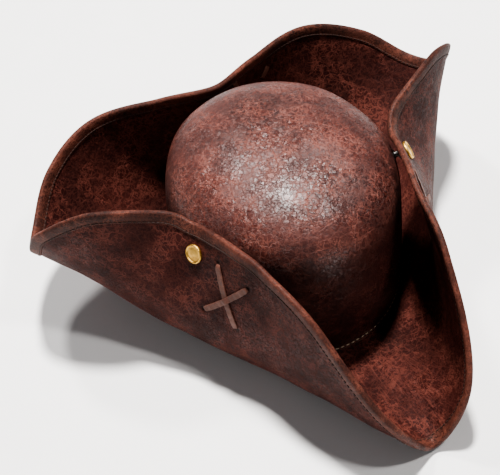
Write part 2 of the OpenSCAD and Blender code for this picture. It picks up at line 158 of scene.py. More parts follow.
world = bpy.data.worlds.new("pale_room")
world.use_nodes = True
world.node_tree.nodes["Background"].inputs["Color"].default_value = (0.95, 0.97, 1.0, 1.0)
world.node_tree.nodes["Background"].inputs["Strength"].default_value = 0.14
bpy.context.scene.world = world
bpy.context.scene.view_settings.look = "AgX - Medium High Contrast"
print("lamps", [(lamp.name, lamp.energy) for lamp in bpy.data.lights])

# %% [markdown]
# ## The crown
# On a real hat the crown is one piece of leather wetted and pulled over a block, so it
# has no seams but the one at its foot. An oval gives the plan, the wall swells a little
# above the head, and the top closes over a squared shoulder.

# %% The crown's shape
def polar(turn, r, z):
    """Points at a turn from the front towards +X, at a radius and a height, in mm."""
    a = np.radians(turn)
    return np.stack([r * np.sin(a), -r * np.cos(a), z + 0 * a], -1)


def oval(turn):
    """Radius of the head's oval: 1 over the root of (sin/half width)^2 + (cos/half length)^2."""
    a = np.radians(turn)
    return 1 / np.sqrt((np.sin(a) / CROWN_HALF_W) ** 2 + (np.cos(a) / CROWN_HALF_L) ** 2)


def crown_r(turn, u):
    """Radius of the crown at a share u of its height: oval plus swell, times the shoulder."""
    swell = CROWN_SWELL * np.sin(np.radians(90 * np.minimum(1, u / SWELL_SHARE)))
    bent = np.maximum(0, (u - WALL_SHARE) / (1 - WALL_SHARE))
    shoulder = np.sqrt(np.maximum(0, 1 - bent**CROWN_SQUARE))
    return (oval(turn) + swell) * shoulder


def crown_point(turn, u, inset):
    """A point of the crown's outer face drawn inwards by an inset."""
    return polar(turn, crown_r(turn, u) * (1 - inset / CROWN_HALF_W), u * (CROWN_H - inset))


print("crown", [round(2 * float(np.max(crown_r(a, np.linspace(0, 1, 50))))) for a in (90, 0)], "mm over")

# %% [markdown]
# ## The brim's sheet
# The brim is one flat ring of two bonded leathers. Each radial line across it is a conic
# arc that leaves the seam, is pulled outwards by the fold and ends at the edge, so the
# whole sheet follows from four smooth curves round the hat: the fold's reach and height,
# and the edge's reach and height.

# %% Curves round the hat
# Share of the way to the corner, fold's reach past the seam, fold's height, tuck, lift.
SIDE_STATIONS = np.array([
    [0, 109, 7, 0, 0], [0.08, 102, 6, 0, 0.32], [0.19, 80, 8, 0.45, 0.84],
    [0.31, 56, 14, 0.77, 0.95], [0.43, 47, 20, 0.91, 0.98], [0.55, 50, 28, 0.98, 0.96],
    [0.67, 62, 38, 1, 0.91], [0.78, 80, 44, 0.88, 1], [0.87, 86, 43, 0.46, 1.1],
    [0.94, 82, 39, 0.11, 0.68], [1, 77, 34, 0, 0]])
BACK_STATIONS = np.array([
    [0.12, 72, 28, 0, -0.15], [0.28, 64, 21, 0.09, 0.37], [0.48, 54, 15, 0.31, 0.78],
    [0.72, 44, 12, 0.73, 0.88], [1, 39, 11, 1, 1]])


def pinned_r(turn, z, lean):
    """Reach of a pinned flap's edge: the crown's wall there plus the gap less the lean."""
    return crown_r(turn, min(z / CROWN_H, PIN_SHARE)) + PIN_GAP - lean


def half_ring():
    """Rows of turn, fold reach, fold height, edge reach and edge height from 0 to 180."""
    f, fold, rise, tuck, lift = SIDE_STATIONS.T
    pin = pinned_r(SIDE_CAP_TURN, SIDE_FLAP_H * DIP_SHARE - CAP_INSET, SIDE_LEAN)
    side = [f * CORNER_TURN, oval(f * CORNER_TURN) + fold, rise,
            mix(mix(FRONT_REACH, BACK_REACH, f), pin, tuck),
            mix(mix(FRONT_RISE, BACK_RISE, f), SIDE_FLAP_H, lift)]
    g, fold, rise, tuck, lift = BACK_STATIONS.T
    turn = mix(CORNER_TURN, 180, g)
    pin = pinned_r(BACK_CAP_TURN, BACK_FLAP_H - CAP_INSET, BACK_LEAN)
    back = [turn, oval(turn) + fold, rise, mix(BACK_REACH, pin, tuck), mix(BACK_RISE, BACK_FLAP_H, lift)]
    return np.concatenate([np.stack(side, 1), np.stack(back, 1)])


HALF = half_ring()
MIRRORED = HALF[1:-1][::-1] * [-1, 1, 1, 1, 1] + [360, 0, 0, 0, 0]
RING = np.concatenate([HALF, MIRRORED])
LAP = np.array([360.0, 0, 0, 0, 0])
KNOTS = np.concatenate([RING[-2:] - LAP, RING, RING[:3] + LAP])
SLOPES = (KNOTS[2:, 1:] - KNOTS[:-2, 1:]) / (KNOTS[2:, :1] - KNOTS[:-2, :1])


def curves(turn):
    """A cubic through the stations whose slope at each is that of the chord past it."""
    turn = np.mod(turn, 360)
    at = KNOTS[1:-1, 0]
    k = np.clip(np.searchsorted(at, turn, side="right") - 1, 0, len(at) - 2)
    h = at[k + 1] - at[k]
    t = ((turn - at[k]) / h)[..., None]
    h = h[..., None]
    p, q, m, n = KNOTS[k + 1, 1:], KNOTS[k + 2, 1:], SLOPES[k], SLOPES[k + 1]
    shape = (2 * t**3 - 3 * t**2 + 1) * p + (t**3 - 2 * t**2 + t) * h * m
    shape = shape + (3 * t**2 - 2 * t**3) * q + (t**3 - t**2) * h * n
    return shape[..., 0], shape[..., 1], shape[..., 2], shape[..., 3]


print("stations round the hat", len(RING))

# %% [markdown]
# ## Points of the sheet
# With the four curves known, any point of the brim follows from its turn and its share of
# the way out. Slopes are taken as small differences, which keeps the formulas short, and a
# few steps of least squares find the point of the sheet nearest to any other point.

# %% The sheet between seam and edge
def brim_point(turn, v):
    """The brim's middle surface: v is 0 at the seam and 1 at the edge. The three controls
    are weighted by (1-v)^2, 2 w v (1-v) and v^2, with w the tightness of the fold."""
    fold_r, fold_z, edge_r, edge_z = curves(turn)
    a, b, e = (1 - v) ** 2, 2 * FOLD_TIGHT * v * (1 - v), v**2
    r = (a * oval(turn) + b * fold_r + e * edge_r) / (a + b + e)
    return polar(turn, r, (b * fold_z + e * edge_z) / (a + b + e))


def brim_frame(turn, v):
    """Point, slope along v, slope along the turn, and unit normal towards the crown."""
    turn, v = np.broadcast_arrays(np.asarray(turn, float), np.asarray(v, float))
    dv, da = 0.004, 0.2
    along = (brim_point(turn, v + dv) - brim_point(turn, v - dv)) / (2 * dv)
    across = (brim_point(turn + da, v) - brim_point(turn - da, v)) / (2 * da)
    return brim_point(turn, v), along, across, unit(np.cross(along, across))


def settle(target, turn, v, rounds=5):
    """Turn and v of the sheet's point nearest to a target, by least squares in its slopes."""
    for _ in range(rounds):
        point, along, across, _n = brim_frame(turn, v)
        gap = target - point
        aa, ab, bb = (along**2).sum(-1), (along * across).sum(-1), (across**2).sum(-1)
        ga, gb = (gap * along).sum(-1), (gap * across).sum(-1)
        whole = aa * bb - ab**2
        turn, v = turn + (gb * aa - ga * ab) / whole, v + (ga * bb - gb * ab) / whole
    return turn, v


edge = brim_point(np.arange(0, 360, 0.5), 1)
edge_length = np.linalg.norm(np.roll(edge, -1, 0) - edge, axis=1).sum()
print("edge of the brim", round(float(edge_length)), "mm long")

# %% [markdown]
# ## Where the leather bends
# Each flap swings about a straight line that lies just outside its fold. On the real hat the leather near
# that line follows the crown on one side and the flap on the other, and turns smoothly between. Here the
# reach of that bend is worked out for each third, but the pieces are only baked in place and not bent. The
# corners of the brim stay still, so the three thirds of the brim meet there.

# %% Flaps and their bends
SIDES = {"left": (0.0, CORNER_TURN), "back": (CORNER_TURN, 360 - CORNER_TURN),
         "right": (360 - CORNER_TURN, 360.0)}
BEND_BEFORE, BEND_AFTER = 6.0, 24.0      # the bend's reach on either side of the cut, in mm
BENDS = {}
for side, (first, last) in SIDES.items():
    tips = brim_point(np.array([first, last]), 1.0)
    run = unit(tips[1] - tips[0])
    outwards = unit(np.cross(run, [0, 0, 1.0]))
    slant = unit(outwards + np.cross(outwards, run))
    cut = float((tips @ slant).max()) + TIP_DROP / math.sqrt(2)
    BENDS[side] = (slant * (cut - BEND_BEFORE) * MM, slant * (cut + BEND_AFTER) * MM)


def bend(thing):
    """Bakes the piece's placement into its points; the piece is not bent to follow the crown or the flap."""
    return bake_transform(thing)


def spread(first, last, pitch, v=1.0, floor=1.2):
    """Turns from first to last whose steps along the sheet are about a pitch."""
    fine = np.linspace(first, last, 2001)
    pace = np.linalg.norm(brim_frame(fine, v)[2], axis=-1) + floor
    length = np.concatenate([[0], np.cumsum((pace[1:] + pace[:-1]) / 2 * np.diff(fine))])
    count = max(2, int(math.ceil(length[-1] / pitch)))
    return np.interp(np.linspace(0, length[-1], count + 1), length, fine)


print("bends run", [round(float(np.linalg.norm(b - a) / MM)) for a, b in BENDS.values()], "mm")

# %% [markdown]
# ## Meshes from grids
# Every piece starts as a grid of points worked out at once. Faces between neighbours on
# the grid need only their index sums, so no point is visited by itself. One builder makes
# the mesh, turns its faces outwards and shades it smooth except at its sharp edges.

# %% Grids into meshes
def grid_quads(cols, rows, closed=False, start=0):
    """Quads of a grid of points stored column by column."""
    j = np.arange(cols if closed else cols - 1)[:, None]
    i = np.arange(rows - 1)[None, :]
    a, b = j * rows + i, (j + 1) % cols * rows + i
    return np.stack([a, b, b + 1, a + 1], -1).reshape(-1, 4) + start


def make(name, points, quads, material, tris=(), uv=None, fields=None, sharp=42):
    """A mesh object from points in mm, faces turned outwards, with a UV and point fields."""
    points = np.asarray(points, float).reshape(-1, 3)
    quads = np.asarray(quads, int).reshape(-1, 4)
    tris = np.asarray(tris, int).reshape(-1, 3)
    halves = np.concatenate([quads[:, [0, 1, 2]], quads[:, [0, 2, 3]], tris])
    a, b, c = (points[halves[:, k]] for k in range(3))
    if (a * np.cross(b, c)).sum() < 0:
        quads, tris = quads[:, ::-1], tris[:, ::-1]
    mesh = bpy.data.meshes.new(name)
    mesh.from_pydata((points * MM).tolist(), [], quads.tolist() + tris.tolist())
    if uv is not None:
        corner = np.empty(len(mesh.loops), int)
        mesh.loops.foreach_get("vertex_index", corner)
        layer = mesh.uv_layers.new(name="UVMap")
        layer.data.foreach_set("uv", np.asarray(uv, float).reshape(-1, 2)[corner].ravel())
    for key, values in (fields or {}).items():
        field = mesh.attributes.new(key, "FLOAT", "POINT")
        field.data.foreach_set("value", np.asarray(values, np.float32).ravel())
    mesh.materials.append(material)
    mesh.shade_smooth()
    mesh.set_sharp_from_angle(angle=math.radians(sharp))
    thing = bpy.data.objects.new(name, mesh)
    bpy.context.collection.objects.link(thing)
    return thing


print("a grid of 3 by 4 points has", len(grid_quads(3, 4)), "quads")

# %% [markdown]
# ## Closed sheets and tubes
# Leather has a thickness, so a sheet is two grids joined by a rim, which gives a cut edge
# of its true width. Strips, wires and rings are one outline drawn along a path, and that
# tube either meets itself again or is closed by a fan at each end.

# %% Sheets and tubes
def rim_quads(cols, rows, offset):
    """Quads that join the border of one grid to that of an equal one stored after it."""
    def strip(ids):
        a, b = ids[:-1], ids[1:]
        return np.stack([b, a, a + offset, b + offset], -1)
    j, i = np.arange(cols) * rows, np.arange(rows)
    return np.concatenate([strip(j), strip(j + rows - 1)[:, ::-1], strip(i)[:, ::-1],
                           strip((cols - 1) * rows + i)])


def slab(name, front, back, material, fields=None, uv=None, sharp=42):
    """A closed sheet between two equal grids of shape (columns, rows, 3)."""
    cols, rows = front.shape[:2]
    size = cols * rows
    quads = np.concatenate([grid_quads(cols, rows), grid_quads(cols, rows, start=size)[:, ::-1],
                            rim_quads(cols, rows, size)])
    points = np.concatenate([front.reshape(-1, 3), back.reshape(-1, 3)])
    fields = {key: np.tile(value.ravel(), 2) for key, value in (fields or {}).items()}
    if uv is not None:
        uv = np.tile(uv.reshape(-1, 2), (2, 1))
    return make(name, points, quads, material, uv=uv, fields=fields, sharp=sharp)


def wrapped_quads(cols, rows):
    """Quads of a grid that meets itself both ways, as on a ring."""
    quads = grid_quads(cols, rows + 1, closed=True)
    return quads // (rows + 1) * rows + quads % (rows + 1) % rows


def loft(name, rings, material, closed=False, sharp=42):
    """A tube through rings of points (rings, points, 3): a ring if closed, else fans close its ends."""
    count, around = rings.shape[:2]
    if closed:
        return make(name, rings, wrapped_quads(count, around), material, sharp=sharp)
    quads = grid_quads(around, count, closed=True)
    points = np.swapaxes(rings, 0, 1).reshape(-1, 3)
    ids = np.arange(around) * count
    after = np.roll(ids, -1)
    centres = np.stack([rings[0].mean(0), rings[-1].mean(0)])
    tris = np.concatenate([
        np.stack([after, ids, np.full(around, len(points))], -1),
        np.stack([ids + count - 1, after + count - 1, np.full(around, len(points) + 1)], -1)])
    return make(name, np.concatenate([points, centres]), quads, material, tris=tris, sharp=sharp)


print("a ring of 3 by 4 points has", len(wrapped_quads(3, 4)), "quads")

# %% [markdown]
# ## Materials as formulas
# A finish is easiest to read as a formula over a place on the piece. One small class
# wraps a value of a material, so that sums and products of values build the nodes that
# work them out, and one method makes every other kind of node.

# %% A value in a material
def put(socket, value):
    """Links a wire to an input, or sets the input to a number, a vector or a colour."""
    if isinstance(value, Wire):
        socket.id_data.links.new(value.socket, socket)
    elif socket.type == "RGBA":
        socket.default_value = tuple(value) + (1.0,) * (4 - len(value))
    else:
        socket.default_value = value


class Wire:
    """A value in a material. Sums and products of wires make the nodes that work them out."""

    def __init__(self, socket):
        self.socket = socket

    def node(self, kind, settings=None, values=None, result=0):
        """A new node: its settings are set first, then its inputs."""
        made = self.socket.id_data.nodes.new(kind)
        for key, setting in (settings or {}).items():
            setattr(made, key, setting)
        for key, value in (values or {}).items():
            put(made.inputs[key], value)
        return Wire(made.outputs[result])

    def join(self, operation, *others, result=0):
        """Math on numbers, or Vector Math as soon as one side is a vector."""
        sides = (self,) + others
        chosen = {"operation": operation}
        if any(isinstance(side, Wire) and side.socket.type != "VALUE" for side in sides):
            sides = [side if isinstance(side, Wire) or hasattr(side, "__len__") else (side,) * 3
                     for side in sides]
            return self.node("ShaderNodeVectorMath", chosen, dict(enumerate(sides)), result)
        return self.node("ShaderNodeMath", chosen, dict(enumerate(sides)))

    def __add__(self, other):
        return self.join("ADD", other)

    def __sub__(self, other):
        return self.join("SUBTRACT", other)

    def __rsub__(self, other):
        return (self * -1.0) + other

    def __mul__(self, other):
        return self.join("MULTIPLY", other)

    __radd__, __rmul__ = __add__, __mul__

    def step(self, low, high):
        """0 below low and 1 above high, smooth between."""
        return self.node("ShaderNodeMapRange", {"interpolation_type": "SMOOTHSTEP"},
                         {"Value": self, "From Min": low, "From Max": high})

    def mixed(self, other, factor):
        """This colour blended with another by a factor."""
        return self.node("ShaderNodeMix", {"data_type": "RGBA"}, {0: factor, 6: self, 7: other}, 2)

    def tint(self, colour):
        """A plain colour in this wire's material."""
        return self.node("ShaderNodeMix", {"data_type": "RGBA"}, {0: 0.0, 6: colour, 7: colour}, 2)

    def noise(self, scale, detail=3.0, rough=0.55, result=0):
        """Cloudy noise between 0 and 1, at a scale in 1/mm."""
        return self.node("ShaderNodeTexNoise", None, {
            "Vector": self, "Scale": scale, "Detail": detail, "Roughness": rough}, result)

    def cells(self, scale, feature="F1", result=0):
        """Cells round scattered seeds: way to the seed or the border, a colour, or the seed's place."""
        return self.node("ShaderNodeTexVoronoi", {"feature": feature}, {
            "Vector": self, "Scale": scale}, result)

    def ridges(self, scale, width, detail=3.0):
        """Thin branching lines: where a noise crosses one half, within a width."""
        return 1.0 - (self.noise(scale, detail, 0.5) - 0.5).join("ABSOLUTE").step(0.0, width)

    def bump(self, depth):
        """A normal bent by this height, in mm."""
        return self.node("ShaderNodeBump", None, {"Height": self, "Distance": depth * MM})


print("a wire can", sorted(key for key in vars(Wire) if not key.startswith("_")))

# %% [markdown]
# ## A new material
# A finish on a real piece doesn't move when the piece does, so each material reads the
# place on the piece itself. Whatever doesn't vary over the piece is set once as a number.

# %% A new material
def material(name, constants):
    """A new material, its shader node, and the place on the piece in mm."""
    made = bpy.data.materials.new(name)
    made.use_nodes = True
    shader = made.node_tree.nodes["Principled BSDF"]
    for key, value in constants.items():
        put(shader.inputs[key], value)
    coordinates = made.node_tree.nodes.new("ShaderNodeTexCoord")
    return made, shader, Wire(coordinates.outputs["Object"]) * 1000.0


print("materials so far", len(bpy.data.materials))

# %% [markdown]
# ## Aged leather
# The hide was dyed, creased while wet and rubbed. Its surface is a net of small facets
# parted by cracks, with long fine veins where the hide was folded, cloudy patches where
# the dye took unevenly, and a worn polish on whatever stands proud. It could be painted,
# but noises and scattered cells give the same net on every piece, at any size, and no seam.
# Each facet leans its own way: the slope is its way to the seed times a random direction.

# %% Leather
def faded(colour, share):
    """A colour of which only a share is left."""
    return tuple(share * x for x in colour)


def drawn_creases(place, height, colour, vein):
    """Long creases along the UV's second axis: noise of (u, v / 16), where the mask is."""
    along = place.node("ShaderNodeUVMap", {"uv_map": "UVMap"})
    mask = place.node("ShaderNodeAttribute", {"attribute_name": "streaks"}, None, 2)
    lines = (along * (1.0, 0.06, 0.0)).noise(0.9, 3.0, 0.62)
    fine = (along * (1.0, 0.05, 0.0) + 9.0).noise(2.6, 2.0, 0.6)
    colour = colour.mixed(vein, lines.step(0.52, 0.66) * mask * 0.4)
    return height + (lines * 3.2 + fine * 1.2) * mask, colour


def leather(name, dark, mid, vein, cell=3.2, crack=1.0, gloss=0.46, shine=0.24, oily=0.42, streaks=False):
    """Dark and mid follow the clouds, and vein is the worn tone along creases and cracks.
    Cell is the size of a facet in mm, crack how deep the facets are, gloss the roughness,
    shine the polish's coat and oily the plain shine."""
    made, shader, place = material(name, {"IOR": 1.45, "Specular IOR Level": oily, "Coat Roughness": 0.27})
    bent = place + (place.noise(0.05, 3.0, 0.6, result=1) - 0.5) * 13.0
    clouds = bent.noise(0.013, 4.0, 0.58)
    patches = (bent + 70.0).noise(0.042, 4.0, 0.62)
    crumpled = place + (place.noise(0.20, 4.0, 0.62, result=1) - 0.5) * 7.5
    folds = 1.0 - crumpled.cells(0.30 / cell, "DISTANCE_TO_EDGE").step(0.0, 0.05)
    seeds = crumpled + 40.0
    net = 1.0 - seeds.cells(0.62 / cell, "DISTANCE_TO_EDGE").step(0.0, 0.09)
    cracks = 1.0 - seeds.cells(1.0 / cell, "DISTANCE_TO_EDGE").step(0.0, 0.10)
    lean = (seeds - seeds.cells(1.0 / cell, result=2)).join(
        "DOT_PRODUCT", seeds.cells(1.0 / cell, result=1) - 0.5, result=1)
    veins = bent.ridges(0.055, 0.018, 6.0) * 0.8
    hairs = (crumpled + 15.0).ridges(0.15, 0.030, 4.0) * 0.7
    worn = patches.step(0.42, 0.60)
    web = folds.join("MAXIMUM", veins).join("MAXIMUM", hairs).join("MAXIMUM", net * 0.75)
    dye = ((clouds - 0.5) * 2.2 + (patches - 0.5) * 1.1 + 0.5).step(0.10, 0.85)
    colour = place.tint(dark).mixed(mid, dye)
    colour = colour.mixed(vein, web * (worn * 0.58 + 0.30))
    polish = (bent + 150.0).noise(0.03, 4.0, 0.6).step(0.36, 0.60) * crack
    colour = colour.mixed(faded(mid, 0.5), cracks * polish * 0.45)
    height = (lean * 0.75 - cracks * 0.5) * (polish * 0.8 + 0.2) * crack
    height = height - folds * (worn * 0.5 + 0.12) * crack + veins * 0.15
    height = height + patches * 1.6 + clouds * 2.5 + place.noise(0.75, 4.0, 0.65) * 0.25
    if streaks:
        height, colour = drawn_creases(place, height, colour, vein)
        # Painted shade: where the hole mask is, the lace holes' pits are darkened almost to black.
        hole = place.node("ShaderNodeAttribute", {"attribute_name": "hole"}, None, 2)
        colour = colour.mixed(faded(dark, 0.12), hole)
    put(shader.inputs["Base Color"], colour)
    dull = web * 0.14 + (0.5 - patches) * 0.35 - polish * 0.16 + cracks * polish * 0.3
    put(shader.inputs["Roughness"], dull + gloss)
    put(shader.inputs["Coat Weight"], polish * (1.0 - cracks) * shine)
    put(shader.inputs["Normal"], height.bump(0.42))
    return made


print("facet, crack, gloss, shine, oil and streaks unless given:", leather.__defaults__)

# %% [markdown]
# ## Four cuts of the same hide
# Crown and brim are the same leather, but the crown was polished by hands and the brim is
# duller. The binding is a softer strip with finer grain, and the laces are a paler hide.

# %% The hat's leathers
crown_leather = leather("crown_leather",
                        (0.024, 0.0062, 0.0054), (0.060, 0.0158, 0.0125), (0.18, 0.060, 0.044))
brim_leather = leather("brim_leather",
                       (0.017, 0.0042, 0.0036), (0.040, 0.0100, 0.0080), (0.13, 0.040, 0.029),
                       crack=0.7, gloss=0.60, shine=0.04, oily=0.09, streaks=True)
trim_leather = leather("trim_leather",
                       (0.012, 0.0036, 0.0028), (0.058, 0.0165, 0.0110), (0.17, 0.056, 0.036),
                       cell=1.5, crack=0.5, gloss=0.60, shine=0.03, oily=0.2)
lace_leather = leather("lace_leather",
                       (0.075, 0.030, 0.022), (0.125, 0.052, 0.038), (0.17, 0.075, 0.052),
                       cell=1.6, crack=0.15, gloss=0.52, shine=0.04, oily=0.25)
print("leathers:", [m.name for m in bpy.data.materials if "leather" in m.name])

# %% [markdown]
# ## Cloth and thread
# The lining is a plain weave, whose threads go over and under each other like the product
# of two sines. The thread of the seams is waxed yarn in uneven tones, too thin for more.

# %% Cloth and thread
def weave():
    """Two sets of threads at right angles over the lining, from sines of the UV in mm."""
    made, shader, place = material("lining_cloth", {"Sheen Weight": 0.3, "Specular IOR Level": 0.3})
    sheet = place.node("ShaderNodeUVMap", {"uv_map": "UVMap"})
    across = place.node("ShaderNodeSeparateXYZ", None, {0: sheet})
    down = Wire(across.socket.node.outputs[1])
    over = (across * 5.2).join("SINE") * (down * 5.2).join("SINE")
    colour = place.tint((0.020, 0.015, 0.015)).mixed((0.055, 0.040, 0.038), over.step(-0.6, 0.8))
    soiled = place.noise(0.03, 3.0).step(0.4, 0.7)
    put(shader.inputs["Base Color"], colour.mixed((0.012, 0.009, 0.010), soiled))
    put(shader.inputs["Roughness"], 0.72 + over * 0.08)
    put(shader.inputs["Normal"], over.bump(0.12))
    return made


def thread(name, dark, pale):
    """Waxed yarn: a fine noise between a dark and a pale tone."""
    made, shader, place = material(name, {"Specular IOR Level": 0.3})
    twist = place.noise(1.4, 2.0, 0.6)
    put(shader.inputs["Base Color"], place.tint(dark).mixed(pale, twist.step(0.35, 0.65)))
    put(shader.inputs["Roughness"], 0.5 + twist * 0.25)
    put(shader.inputs["Normal"], place.noise(3.0, 2.0).bump(0.12))
    return made


lining_cloth = weave()
dark_thread = thread("dark_thread", (0.014, 0.006, 0.005), (0.045, 0.020, 0.014))
pale_thread = thread("pale_thread", (0.38, 0.28, 0.20), (0.62, 0.50, 0.38))
print("cloth and threads:", [lining_cloth.name, dark_thread.name, pale_thread.name])

# %% [markdown]
# ## Brass and steel
# The caps are thin pressed brass gone dull with handling, and the parts of the studs that
# hardly show are steel. Stains lie in soft patches and scratches run one way.

# %% Brass and steel
def metal(name, clean, stained, rough, blotch):
    """Worn metal: stains in soft patches, fine scratches in the roughness and normal."""
    made, shader, place = material(name, {"Metallic": 1.0})
    stain = place.noise(blotch, 4.0, 0.65).step(0.44, 0.68)
    scratch = (place * (1.0, 0.12, 1.0)).noise(2.4, 3.0, 0.7)
    fine = place.noise(0.9, 5.0, 0.7)
    put(shader.inputs["Base Color"], place.tint(clean).mixed(stained, stain * 0.7))
    put(shader.inputs["Roughness"], rough + stain * 0.18 + (scratch - 0.5) * 0.25)
    put(shader.inputs["Normal"], (fine * 0.7 + scratch * 0.5).bump(0.08))
    return made


brass = metal("brass", (0.60, 0.37, 0.10), (0.34, 0.19, 0.05), 0.34, 0.16)
steel = metal("steel", (0.28, 0.27, 0.26), (0.15, 0.13, 0.11), 0.42, 0.3)
print("materials", len(bpy.data.materials))

# %% [markdown]
# ## The crown and its lining
# The crown is the one surface seen from every side, so it gets a fine grid. The hide was
# never quite round again after wear, so a few slow waves are laid over the oval. It could
# be sculpted, but the formula also gives the lining, the same surface a little further in.

# %% Crown and lining
def dents(turn, u):
    """Slow waves of about 1 mm that die out at the foot, where the seam holds the oval."""
    a = np.radians(turn)
    soft = np.sin(3 * a + 1.1) * np.sin(5 * u + 0.4) + 0.7 * np.sin(5 * a + 3.7 * u - 0.8)
    soft = soft + 0.5 * np.sin(8 * a - 6.1 * u + 2.0)
    return 0.55 * soft * np.sin(np.pi * np.minimum(1, u * 1.6) / 2) ** 2 * np.cos(np.pi / 2 * u**6)


def dome(inset, cols, rows, coat):
    """One closed layer of the crown: outer grid, inner grid, a rim at its foot, two fans."""
    turn = np.arange(cols)[:, None] * 360.0 / cols + np.zeros((1, rows))
    u = np.sin(np.pi / 2 * np.arange(rows) / rows)[None, :] + np.zeros((cols, 1))
    sides = []
    for deep in (0.0, coat):
        flat = crown_point(turn, u, inset + deep)
        out = unit(flat * [1, 1, 0.25])
        sides.append(flat + out * dents(turn, u)[..., None])
    size = cols * rows
    j = np.arange(cols) * rows
    after = np.roll(j, -1)
    quads = np.concatenate([grid_quads(cols, rows, True), grid_quads(cols, rows, True, size)[:, ::-1],
                            np.stack([after, j, j + size, after + size], -1)])
    poles = np.stack([crown_point(0.0, 1.0, inset), crown_point(0.0, 1.0, inset + coat)])
    last, then = j + rows - 1, after + rows - 1
    tris = np.concatenate([np.stack([last, then, np.full(cols, 2 * size)], -1),
                           np.stack([then + size, last + size, np.full(cols, 2 * size + 1)], -1)])
    points = np.concatenate([sides[0].reshape(-1, 3), sides[1].reshape(-1, 3), poles])
    uv = np.stack([turn * 1.6, u * 160], -1).reshape(-1, 2)
    uv = np.concatenate([uv, uv, [[0, 160], [0, 160]]])
    return points, quads, tris, uv


points, quads, tris, uv = dome(0.0, 300, 120, CROWN_T)
crown = make("crown", points, quads, crown_leather, tris=tris, uv=uv)
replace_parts(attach(crown, "root"), "crown_shell")
points, quads, tris, uv = dome(CROWN_T + 0.05, 144, 50, LINING_T)
lining = make("lining", points, quads, lining_cloth, tris=tris, uv=uv)
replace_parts(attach(lining, "root"), "crown_lining")
print("crown", len(crown.data.polygons), "faces; lining", len(lining.data.polygons))

# %% [markdown]
# ## Sweatband and seam tape
# Inside the foot of the crown a leather band lies against the wearer's head, with its upper
# edge rolled inwards. Under the brim a tape covers the seam, and the hat stands on it. Both
# are one outline drawn round the head.

# %% Sweatband and seam tape
TAPE_GAP, TAPE_T, TAPE_FLAT, TAPE_REACH = 0.05, 0.8, 2.0, 9.0
FOOT = -BRIM_T / 2 - TAPE_GAP - TAPE_T


def hoop(name, section, material_used, count=240):
    """A ring round the head: section(turn) gives its corners, in order, for each turn."""
    turn = np.arange(count) * 360.0 / count
    return loft(name, np.stack(section(turn), 1), material_used, closed=True)


def band_section(turn):
    """The sweatband's strip, with a rolled upper edge that leans in a little."""
    deep, rolled = CROWN_T + LINING_T + 0.15, BAND_T
    heights = [(0.0, 0), (0.25, 0), (0.6, 0), (0.93, 0.1), (0.985, 0.45), (1.0, 0.8)]
    high = BAND_H / CROWN_H
    outer = [crown_point(turn, h * high, deep + lean) for h, lean in heights]
    inner = [crown_point(turn, h * high, deep + rolled + 0.3 * lean) for h, lean in heights[::-1]]
    return outer + inner


sweatband = hoop("sweatband", band_section, trim_leather)
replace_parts(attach(sweatband, "root"), "sweatband")


def tape_section(turn):
    """The tape under the seam: a flat foot on which the hat stands, and a sloping outer wing."""
    top = FOOT + TAPE_T
    _p, along, _c, _n = brim_frame(turn, 0.0)
    spot, _a, _c, normal = brim_frame(turn, TAPE_REACH / np.linalg.norm(along, axis=-1))
    inner, flat_out = oval(turn) - CROWN_T, oval(turn) + TAPE_FLAT
    return [polar(turn, inner, top), polar(turn, inner, FOOT), polar(turn, flat_out, FOOT),
            spot + normal * FOOT, spot + normal * top, polar(turn, flat_out, top)]


tape = hoop("seam_tape", tape_section, trim_leather)
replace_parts(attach(tape, "root"), "seam_tape")
print("sweatband", len(sweatband.data.polygons), "faces; tape", len(tape.data.polygons))

# %% [markdown]
# ## Where the laces run
# Two straps cross on each flap. Their middle is a fixed way in from the edge, and each runs
# straight on the sheet at its own tilt. The brim needs the four ends for its lace holes, so
# the paths come before it.

# %% Paths of the laces
def lace_path(side, over, s):
    """Turn and v at a distance s along a strap of a cross, from its middle, whose v is
    moved in small steps until its straight way to the edge is the lace's inset."""
    middle = {"left": SIDE_LACE_TURN, "right": 360 - SIDE_LACE_TURN, "back": BACK_LACE_TURN}[side]
    tilt = STRAPS[over][1]
    tilt = math.radians(180 - tilt if side == "right" else tilt)
    v = 1.0
    for _ in range(30):
        v = v - (LACE_INSET - np.linalg.norm(brim_point(middle, 1.0) - brim_point(middle, v))) * 0.004
    _p, along, across, _n = brim_frame(middle, v)
    round_way = s * math.cos(tilt) / np.linalg.norm(across)
    out_way = s * math.sin(tilt) / np.linalg.norm(along)
    return middle + round_way, v + out_way


def lace_holes(side):
    """The four places where a cross goes through its flap."""
    ends = [lace_path(side, over, s * STRAPS[over][0] / 2) for over in STRAPS for s in (-1, 1)]
    return np.array([brim_point(t, v) for t, v in ends])


print("lace holes", {side: len(lace_holes(side)) for side in SIDES})

# %% [markdown]
# ## The brim
# The brim is made as three thirds that meet in the middle of the corners, where nothing
# moves. Its two faces stand half a thickness off the middle surface. Lace holes are
# pressed into it, and on the front the leather keeps long creases from being drawn in.

